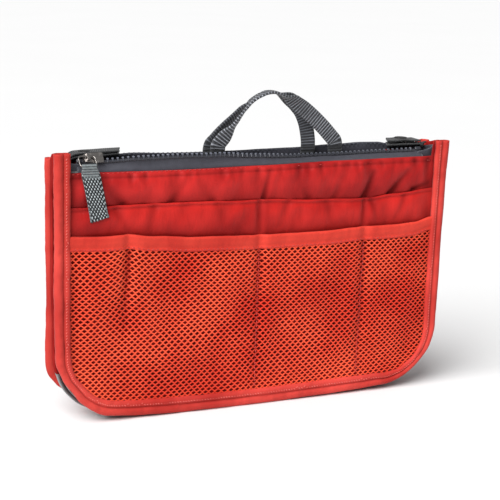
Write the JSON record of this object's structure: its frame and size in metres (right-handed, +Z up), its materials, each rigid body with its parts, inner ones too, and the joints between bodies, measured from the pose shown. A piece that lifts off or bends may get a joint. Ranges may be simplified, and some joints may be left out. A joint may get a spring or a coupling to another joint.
{
  "type": "purse organizer insert",
  "caption": "Soft zip-mouthed purse organizer insert with a net front pocket, two webbing handles and pleated sides held folded by snap straps.",
  "frame": {"origin": "middle of the bounding box's base, on the surface the insert stands on", "axes": "+X along the mouth to the right as seen from the front, +Y from the front wall to the back wall, +Z up"},
  "size_m": [0.279, 0.029, 0.211],
  "materials": {
    "red_nylon": "satin",
    "red_mesh": "satin",
    "red_binding": "satin",
    "grey_nylon": "matte",
    "foam": "matte",
    "zip_tape": "matte",
    "webbing": "matte",
    "pull_webbing": "matte",
    "zip_plastic": "satin",
    "dark_metal": "polished"
  },
  "bodies": {
    "front_half": {"front_panel": "red_nylon", "front_foam": "foam", "front_lining": "grey_nylon", "front_slip_pocket": "red_nylon", "mesh_pocket": "red_mesh", "mesh_pocket_hem": "red_binding", "front_binding": "red_binding", "left_gusset": "red_nylon", "base_strip": "grey_nylon", "right_gusset": "red_nylon", "front_zip_tape": "zip_tape", "front_zip_teeth": "zip_plastic", "front_bottom_stop": "zip_plastic", "front_top_stop": "zip_plastic", "front_handle_left_end": "webbing", "front_handle_right_end": "webbing"},
    "back_half": {"back_panel": "red_nylon", "back_foam": "foam", "back_lining": "grey_nylon", "back_slip_pocket": "red_nylon", "back_binding": "red_binding", "inner_pocket": "grey_nylon", "back_zip_tape": "zip_tape", "back_zip_teeth": "zip_plastic", "back_bottom_stop": "zip_plastic", "back_top_stop": "zip_plastic", "back_handle_left_end": "webbing", "back_handle_right_end": "webbing", "left_strap_base": "webbing", "right_strap_base": "webbing", "left_snap_stud": "dark_metal", "right_snap_stud": "dark_metal"},
    "slider": {"zip_slider": "dark_metal"},
    "ring": {"pull_ring": "dark_metal"},
    "pull": {"webbing_pull": "pull_webbing"},
    "front_handle_loop": {"front_handle": "webbing"},
    "back_handle_loop": {"back_handle": "webbing"},
    "left_strap": {"left_snap_strap": "webbing", "left_snap_socket": "dark_metal", "left_snap_cap": "dark_metal"},
    "right_strap": {"right_snap_strap": "webbing", "right_snap_socket": "dark_metal", "right_snap_cap": "dark_metal"}
  },
  "joints": [
    {"name": "depth_slide", "type": "slide", "parent": "front_half", "child": "back_half", "axis": [0, 1, 0], "range_m": [0, 0.046], "deforming": ["left_gusset", "right_gusset", "base_strip"]},
    {"name": "zip_slide", "type": "slide", "parent": "front_half", "child": "slider", "axis": [1, 0, 0], "range_m": [0, 0.2272]},
    {"name": "ring_swing", "type": "hinge", "parent": "slider", "child": "ring", "pos_m": [-0.1186, -0.00629, 0.17229], "axis": [-1, 0, 0], "range_deg": [0, 80]},
    {"name": "pull_swing", "type": "hinge", "parent": "ring", "child": "pull", "pos_m": [-0.1186, -0.01257, 0.16664], "axis": [-1, 0, 0], "range_deg": [0, 90]},
    {"name": "front_handle_fold", "type": "hinge", "parent": "front_half", "child": "front_handle_loop", "pos_m": [0, 0.00095, 0.173], "axis": [1, 0, 0], "range_deg": [0, 90]},
    {"name": "back_handle_fold", "type": "hinge", "parent": "back_half", "child": "back_handle_loop", "pos_m": [0, 0.00465, 0.173], "axis": [-1, 0, 0], "range_deg": [0, 90]},
    {"name": "left_strap_lift", "type": "hinge", "parent": "back_half", "child": "left_strap", "pos_m": [-0.1279, 0.00822, 0.17375], "axis": [0, -1, 0], "range_deg": [0, 90]},
    {"name": "right_strap_lift", "type": "hinge", "parent": "back_half", "child": "right_strap", "pos_m": [0.1279, 0.00822, 0.17375], "axis": [0, 1, 0], "range_deg": [0, 90]}
  ]
}
